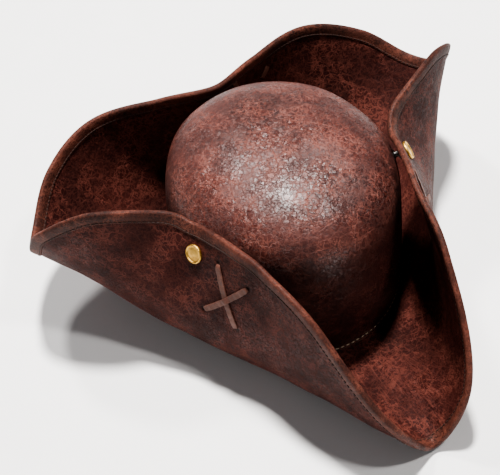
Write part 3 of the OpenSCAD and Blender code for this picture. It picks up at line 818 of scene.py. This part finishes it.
# %% Brim thirds
def brim_third(side):
    """Both faces of the sheet: half the thickness off it, less a pit exp(-(d/2)^2) at each
    lace hole and plus a low lip round the pit, with d the distance from the hole."""
    first, last = SIDES[side]
    turn = spread(first, last, 1.5)
    v = 1 - (1 - np.linspace(0, 1, 104)) ** 1.05
    turn, v = np.meshgrid(turn, v, indexing="ij")
    spot, _along, _across, normal = brim_frame(turn, v)
    away = np.linalg.norm(spot[..., None, :] - lace_holes(side), axis=-1)
    # The hole mask sinks a pit at each lace hole and is also passed to the leather as painted shade in the
    # pits.
    hole = np.exp(-((away / 2.0) ** 2)).sum(-1)
    lip = np.exp(-(((away - 4.2) / 1.5) ** 2)).sum(-1)
    front = np.minimum(turn, 360 - turn)
    streaks = np.exp(-((front / 15) ** 4)) * np.clip(v * 8, 0, 1) * np.clip((1 - v) * 7, 0, 1)
    lift = (BRIM_T / 2 - 0.75 * hole + 0.35 * lip)[..., None]
    uv = np.stack([turn, v * 100], -1)
    fields = {"streaks": streaks, "hole": np.clip(hole * 1.1, 0, 1)}
    third = slab("brim_" + side, spot + normal * lift, spot - normal * lift, brim_leather, fields, uv)
    return bend(third)


thirds = {side: brim_third(side) for side in SIDES}
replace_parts(thirds["left"], "brim_base", "flap_left")
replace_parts(thirds["back"], "flap_back")
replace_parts(thirds["right"], "flap_right")
print("brim", {side: len(third.data.polygons) for side, third in thirds.items()}, "faces")

# %% [markdown]
# ## Binding along the edge
# A strip of softer leather is folded over the brim's edge and sewn through. It could be a
# plain tube, but a real binding has a flat hem on each face, a groove where the stitches
# pull it in, and a round roll over the edge, so its outline has all three.

# %% Binding along the edge
def edge_paths(turn, distances):
    """Frames on the sheet at distances in from the edge, square to the edge."""
    spot, along, across, _n = brim_frame(turn, 1.0)
    run = unit(across)
    inwards = -unit(along - (along * run).sum(-1, keepdims=True) * run)
    found = []
    for d in distances:
        guess = np.full(turn.shape, 1.0 - d / 260)
        t, v = settle(spot + inwards * d, turn, guess)
        point, _a, _c, normal = brim_frame(t, v)
        found.append((point, normal))
    return found, inwards, spot, run


HEMS = [8.0, 7.4, 6.3, 5.0, 3.4, 2.2]                # ways in from the edge, in mm
LIFTS = [1.35, 2.02, 1.86, 2.16, 2.30, 2.44]         # how far the binding stands off there
BINDING_PITCH, PUCKER_LENGTH = 1.6, 4.35


def binding_third(side):
    """Hem, groove and roll over the edge, and the same again on the other face. The lift
    swells and sinks by a twentieth along the edge, as the stitches pucker the strip."""
    first, last = SIDES[side]
    turn = spread(first, last, BINDING_PITCH)
    frames, inwards, spot, _run = edge_paths(turn, HEMS)
    waves = np.arange(len(turn)) * 2 * np.pi * BINDING_PITCH / PUCKER_LENGTH
    pucker = 1 + 0.05 * np.sin(waves)[:, None]
    _p, _a, _c, normal = brim_frame(turn, 1.0)
    upper = [p + n * lift * pucker for (p, n), lift in zip(frames, LIFTS)]
    lower = [p - n * lift * pucker for (p, n), lift in zip(frames, LIFTS)]
    swing = np.radians(np.linspace(74, -74, 11))
    roll = [spot - inwards * (0.15 + 2.45 * math.cos(a)) + normal * 2.52 * math.sin(a) for a in swing]
    inner = [frames[0][0] - frames[0][1] * 1.25, frames[3][0] - frames[3][1] * 1.25,
             spot - inwards * 1.8 - normal * 1.2, spot - inwards * 1.8 + normal * 1.2,
             frames[3][0] + frames[3][1] * 1.25, frames[0][0] + frames[0][1] * 1.25]
    rings = np.stack(upper + roll + lower[::-1] + inner, 1)
    piece = loft("binding_" + side, rings, trim_leather, sharp=50)
    return bend(piece)


bindings = {side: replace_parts(binding_third(side), "binding_" + side) for side in SIDES}
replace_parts(bindings["left"], "binding_corners")
print("binding", {side: len(piece.data.polygons) for side, piece in bindings.items()}, "faces")

# %% [markdown]
# ## The wire in the roll
# A thin steel wire in the binding's roll keeps the line that the brim was bent to. It never
# shows, so a plain ring of eight points drawn along the edge is enough.

# %% Edge wire
WIRE_R, WIRE_OUT = 0.8, 0.9


def wire_third(side):
    """A round wire whose middle runs a little outside the sheet's edge."""
    first, last = SIDES[side]
    turn = spread(first, last, 4.0)
    _f, inwards, spot, _r = edge_paths(turn, [])
    normal = brim_frame(turn, 1.0)[3]
    rings = [spot - inwards * (WIRE_OUT + WIRE_R * math.cos(a)) + normal * WIRE_R * math.sin(a)
             for a in np.radians(np.arange(0, -360, -45))]
    piece = loft("edge_wire_" + side, np.stack(rings, 1), steel, sharp=80)
    return bend(piece)


wires = {side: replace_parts(wire_third(side), "edge_wire_" + side) for side in SIDES}
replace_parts(wires["left"], "edge_wire_corners")
print("wire", {side: len(piece.data.polygons) for side, piece in wires.items()}, "faces")

# %% [markdown]
# ## Stitches
# A stitch is a short length of thread that comes out of one hole and goes into the next.
# A texture could show it, but a real one catches light, so each row repeats one small
# capsule, curved so that its ends dive into the leather.

# %% Stitch rows
def capsules(name, spot, run, up, long, thick, material_used):
    """One mesh of many stitches: arcs along run that stand up in their middle."""
    s = np.linspace(-1, 1, 7)
    girth = np.sqrt(np.clip(1 - s**6, 0.04, 1)) * thick / 2
    around = np.radians(np.arange(0, 360, 45))
    side = unit(np.cross(up, run))
    mid = spot[:, None] + run[:, None] * (s * long / 2)[None, :, None]
    mid = mid + up[:, None] * (0.30 * thick * (1 - 2.2 * s**4))[None, :, None]
    ring = side[:, None, None] * np.cos(around)[None, None, :, None]
    ring = ring + up[:, None, None] * np.sin(around)[None, None, :, None]
    points = mid[:, :, None] + ring * girth[None, :, None, None]
    count, rows, k = points.shape[:3]
    j, i = np.meshgrid(np.arange(rows - 1), np.arange(k), indexing="ij")
    a, b = j * k + i, j * k + (i + 1) % k
    body = np.stack([a, b, b + k, a + k], -1).reshape(-1, 4)
    one = np.arange(k)
    ends = np.concatenate([np.stack([one[1:-1] + 1, one[1:-1], one[1:-1] * 0], -1),
                           np.stack([one[1:-1], one[1:-1] + 1, one[1:-1] * 0], -1) + (rows - 1) * k])
    start = np.arange(count)[:, None, None] * rows * k
    return make(name, points, (body[None] + start).reshape(-1, 4), material_used,
                tris=(ends[None] + start).reshape(-1, 3), sharp=80)


STITCH_FACES = 60        # six bands of eight sides, and six triangles over each end


def binding_stitches(side):
    """One row on each face of the hem, in the groove that the stitches pull in."""
    first, last = SIDES[side]
    turn = spread(first, last, 4.4)
    turn = (turn[1:] + turn[:-1]) / 2
    frames, _i, _s, run = edge_paths(turn, [6.4])
    point, normal = frames[0]
    spot = np.concatenate([point + normal * 1.92, point - normal * 1.92])
    up = np.concatenate([normal, -normal])
    rows = capsules("binding_stitches_" + side, spot, np.concatenate([run, run]), up, 3.1, 0.75, dark_thread)
    return bend(rows)


stitches = {side: binding_stitches(side) for side in SIDES}
print("stitches", {side: len(row.data.polygons) // STITCH_FACES for side, row in stitches.items()})

# %% [markdown]
# ## Stitches and welt on the crown
# Pale thread holds the crown's foot to the brim outside and the sweatband inside. Steps of
# equal length round an oval are found from its length so far. A rolled strip of leather, the
# welt, hides the corner between crown and brim.

# %% Rows and welt on the crown
def crown_row(name, height, inset, out, pitch, material_used):
    """Stitches round the crown's wall at a height, outside or inside it."""
    turn = np.arange(0, 360, 0.25)
    ring = crown_point(turn, height / CROWN_H, inset)
    length = np.concatenate([[0], np.cumsum(np.linalg.norm(np.roll(ring, -1, 0) - ring, axis=1))])
    count = int(length[-1] / pitch)
    turn = np.interp(np.arange(count) * length[-1] / count, length, np.append(turn, 360))
    spot = crown_point(turn, height / CROWN_H, inset)
    run = unit(crown_point(turn + 0.2, height / CROWN_H, inset) - spot)
    up = unit(np.cross(run, [0, 0, 1.0])) * out
    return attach(capsules(name, spot, run, up, pitch * 0.68, 0.8, material_used), "root")


foot = crown_row("crown_stitches", 3.4, 0.0, 1.0, 4.6, pale_thread)
band_row = crown_row("band_stitches", 4.0, CROWN_T + LINING_T + BAND_T + 0.15, -1.0, 4.6,
                             pale_thread)


def welt_section(turn):
    """A thin rolled strip of leather in the corner between crown and brim."""
    spot = polar(turn, oval(turn) + 0.9, BRIM_T / 2 + 0.45)
    out = unit(polar(turn, 1.0, 0.0))
    return [spot + out * 0.95 * math.cos(a) + np.array([0, 0, 0.8 * math.sin(a)])
            for a in np.radians(np.arange(0, 360, 36))]


welt = hoop("crown_welt", welt_section, trim_leather)
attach(welt, "root")
print("stitches", {row.name: len(row.data.polygons) // STITCH_FACES for row in (foot, band_row)})

# %% [markdown]
# ## Turned pieces
# Caps, sockets, studs and posts are pressed or turned, so each is an outline of radius and
# height spun about its axis: a point at radius r and height h lies at r times a direction
# round the axis, plus h times the axis.

# %% Turned pieces
def lathe(name, outline, spot, axis, material_used, sharp=35, around=72):
    """A turned piece: outline gives (radius, height) pairs along its axis from a spot."""
    outline = np.array(outline, float)
    side = unit(np.cross(axis, [0.0, 0.0, 1.0]))
    other = np.cross(axis, side)
    a = np.radians(np.arange(around) * 360.0 / around)
    ring = np.cos(a)[:, None] * side + np.sin(a)[:, None] * other
    points = spot + ring[:, None] * outline[None, :, :1] + axis * outline[None, :, 1:]
    rows = len(outline)
    if outline[0, 0] > 0.01:
        return make(name, points, wrapped_quads(around, rows), material_used, sharp=sharp)
    inner = points[:, 1:-1].reshape(-1, 3)
    quads = grid_quads(around, rows - 2, True)
    j = np.arange(around) * (rows - 2)
    after = np.roll(j, -1)
    tris = np.concatenate([np.stack([after, j, np.full(around, len(inner))], -1),
                           np.stack([j + rows - 3, after + rows - 3, np.full(around, len(inner) + 1)], -1)])
    points = np.concatenate([inner, points[:1, 0], points[:1, -1]])
    return make(name, points, quads, material_used, tris=tris, sharp=sharp)


print("turned pieces have 72 points round their axis")

# %% [markdown]
# ## Where the studs sit
# A flap's stud is a fixed way in from the edge. Its socket must leave the stud straight when
# the flap swings, so both lie along the way that place first moves. The cap lies flat on the
# leather instead.

# %% Places of the studs
def pin(side):
    """Where a flap's stud sits, the way the flap first swings off it, and the way its cap looks."""
    turn = {"left": SIDE_CAP_TURN, "right": 360.0 - SIDE_CAP_TURN, "back": BACK_CAP_TURN}[side]
    low, high = 0.3, 1.0
    for _ in range(24):
        v = (low + high) / 2
        away = np.linalg.norm(brim_point(turn, 1.0) - brim_point(turn, v))
        low, high = (v, high) if away > CAP_INSET else (low, v)
    spot, _along, _across, normal = brim_frame(turn, (low + high) / 2)
    joint = joints[side + "_flap_fold"]
    off = unit(np.cross(joint["axis"], spot - np.array(joint["pos_m"]) / MM))
    return spot, off, -normal


def wall_gap(spot, off):
    """Distance from the sheet at a stud back to the crown's wall."""
    low, high = 0.0, 40.0
    for _ in range(24):
        reach = (low + high) / 2
        p = spot - off * reach
        outside = np.hypot(p[0], p[1]) > crown_r(np.degrees(np.arctan2(p[0], -p[1])), p[2] / CROWN_H)
        low, high = (reach, high) if outside else (low, reach)
    return reach


print("studs sit at", {side: [round(float(x), 1) for x in pin(side)[0]] for side in SIDES}, "mm")

# %% [markdown]
# ## Press studs
# A stud's cap is pressed through the flap into a socket behind it, and the socket clips
# over a stud that a post holds to the crown. Each is its own turned piece, so the two on the
# flap can leave the two on the crown.

# %% Press studs
SNAP_LAY, SOCKET_FLOOR, SNAP_GAP = 0.05, 0.8, 0.35       # clearances along a stud, in mm

for side in SIDES:
    spot, off, face = pin(side)
    reach = wall_gap(spot, off)
    flap, half = "flap_" + side, BRIM_T / 2 + SNAP_LAY
    top = reach - half - SOCKET_FLOOR - SNAP_GAP
    cap = lathe("snap_cap_" + side, [
        (0, -3.0), (1.8, -3.0), (1.8, 0.0), (6.9, 0.0), (7.3, 0.2), (7.5, 0.6), (7.5, 1.5),
        (7.38, 1.95), (7.1, 2.28), (6.75, 2.4), (6.4, 2.3), (6.15, 2.05), (5.95, 1.72), (5.6, 1.6),
        (4.6, 1.66), (3.2, 1.78), (1.6, 1.9), (0, 1.96)], spot + face * half, face, brass)
    socket = lathe("snap_socket_" + side, [
        (1.85, 0.0), (5.4, 0.0), (5.75, -0.3), (5.75, -2.6), (5.4, -3.0), (4.6, -3.2), (3.9, -3.2),
        (3.55, -2.9), (3.55, -1.0), (1.85, -1.0)], spot - off * half, off, steel)
    stud = lathe("snap_stud_" + side, [
        (1.8, -0.4), (4.8, -0.4), (4.8, 0.35), (4.4, 0.6), (2.5, 0.9), (2.3, 1.2), (2.3, top - 2),
        (3.1, top - 1.5), (3.2, top - 1.1), (3.2, top - 0.6), (2.9, top - 0.2), (2.5, top),
        (1.8, top)], spot - off * reach, off, steel)
    post = lathe("snap_post_" + side, [
        (0, -3.6), (3.9, -3.6), (4.45, -3.4), (4.6, -3.1), (4.6, -2.8), (1.75, -2.8),
        (1.75, top - 0.2), (1.4, top), (0, top)], spot - off * reach, off, brass)
    for piece, kind, body, finish in ((cap, "cap", flap, "brass"), (socket, "socket", flap, "steel"),
                                      (stud, "stud", "root", "steel"), (post, "post", "root", "brass")):
        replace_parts(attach(piece, body), "snap_%s_%s" % (kind, side))
    turned = math.degrees(math.acos(min(1.0, float(off @ face))))
    print(side, "stud", round(float(reach), 1), "mm off the crown; cap turned", round(turned), "degrees")

# %% [markdown]
# ## Laces
# The laces are cut flat, wetted and crossed on the flap, with their ends drawn through it
# and left short. A strap is a rounded flat outline drawn along a path that dips through the
# leather near each end, and where two cross the upper one climbs over the lower.

# %% Laces
LACE_T, LACE_W, LACE_TAIL = 1.2, 4.9, 9.0


def lace(side, over):
    """A flat strap: over the flap's outer face, through a hole at each end, short tails inside.
    Its lift goes from one face to the other by 3p^2 - 2p^3, with p the share of the way
    through, and its outline is a rounded oblong from powers of a sine and a cosine."""
    half, tail, thick, wide = STRAPS[over][0] / 2, LACE_TAIL, LACE_T, LACE_W
    s = np.linspace(-half - tail, half + tail, 90)
    past = np.clip((np.abs(s) - (half - 2.6)) / 3.4, 0, 1)
    through = past * past * (3 - 2 * past)
    held = 1.0 + 0.1 + thick / 2 + 0.15 * np.sin(s * 0.9 + (2.0 if over else 0.0))
    rise = (thick + 0.25) * (0.5 + 0.5 * np.cos(np.pi * np.clip(np.abs(s) / 6.5, 0, 1))) if over else 0.0
    lift = mix(-(held + 0.15) - rise, held + 0.25, through)
    along = np.abs(s) - 0.9 * through
    turn, v = lace_path(side, over, np.sign(s) * along)
    base, _a, _c, normal = brim_frame(turn, v)
    path = base + normal * lift[:, None]
    run = unit(np.gradient(path, axis=0))
    flat = unit(np.gradient(base, axis=0))
    across = unit(np.cross(normal, flat))
    up = unit(np.cross(run, across))
    width = wide / 2 * (1 - 0.30 * np.exp(-(((np.abs(s) - half + 0.8) / 2.2) ** 2)))
    corner = np.radians(np.arange(0, 360, 20))
    c, d = np.cos(corner), np.sin(corner)
    x = np.sign(c) * np.abs(c) ** 0.30
    y = np.sign(d) * np.abs(d) ** 0.55
    rings = path[:, None] + across[:, None] * (x[None, :] * width[:, None])[..., None]
    rings = rings + up[:, None] * (y * thick / 2)[None, :, None]
    name = "lace_%s_%s" % ("over" if over else "under", side)
    piece = loft(name, rings, lace_leather, sharp=60)
    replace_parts(bend(piece), name)
    return piece


laces = [lace(side, over) for side in SIDES for over in (True, False)]
print("laces", len(laces), "pieces,", len(laces[0].data.polygons), "faces each")

# %% [markdown]
# ## Floor and finish
# The floor is a wide pale card just under the seam tape, on which the hat stands. It is wide
# enough that its far edge stays out of most views.

# %% Floor
def floor_card():
    made, shader, place = material("pale_card", {"Roughness": 0.8, "Specular IOR Level": 0.2})
    put(shader.inputs["Base Color"], place.tint((0.86, 0.86, 0.86)).mixed(
        (0.90, 0.90, 0.90), place.noise(0.02, 2.0)))
    return made


CARD_HALF, CARD_T, CARD_GAP = 6000.0, 4.0, 0.02
ends = np.array([-CARD_HALF, CARD_HALF])
across, along = np.meshgrid(ends, ends, indexing="ij")
card_face = np.stack([across, along, np.full((2, 2), FOOT)], -1)
card = slab("floor", card_face - [0, 0, CARD_GAP], card_face - [0, 0, CARD_T], floor_card())
print("floor at", round(FOOT - CARD_GAP, 2), "mm")

# %% [markdown]
